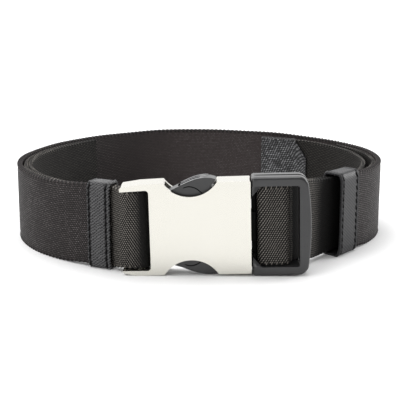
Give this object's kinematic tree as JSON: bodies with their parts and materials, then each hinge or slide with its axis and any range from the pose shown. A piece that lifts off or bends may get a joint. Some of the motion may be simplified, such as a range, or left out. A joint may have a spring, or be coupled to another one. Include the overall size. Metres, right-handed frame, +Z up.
{
  "type": "nylon belt",
  "caption": "Nylon webbing belt fastened in a loop, with a side-release metal buckle, leather keepers and a leather-tipped free end.",
  "frame": {"origin": "centre of the bounding box's bottom face, on the surface that the belt stands on", "axes": "+Z up along the belt's width, +X to the wearer's left along the buckle's front, +Y from the buckle to the back of the loop"},
  "size_m": [0.1974, 0.1834, 0.048],
  "materials": {
    "nylon_strap": "finely ribbed woven nylon",
    "nylon_webbing": "twill-woven nylon webbing",
    "grained_leather": "cross-hatched pressed grain, low sheen",
    "pale_metal": "pale satin polish",
    "dark_metal": "dark grey satin"
  },
  "bodies": {
    "root": {"outer_strap": "nylon_strap", "buckle_webbing": "nylon_webbing", "adjuster_webbing": "nylon_webbing", "left_keeper": "grained_leather", "right_keeper": "grained_leather", "tip_cap": "grained_leather", "buckle_housing": "pale_metal", "buckle_clip": "dark_metal"}
  },
  "joints": []
}
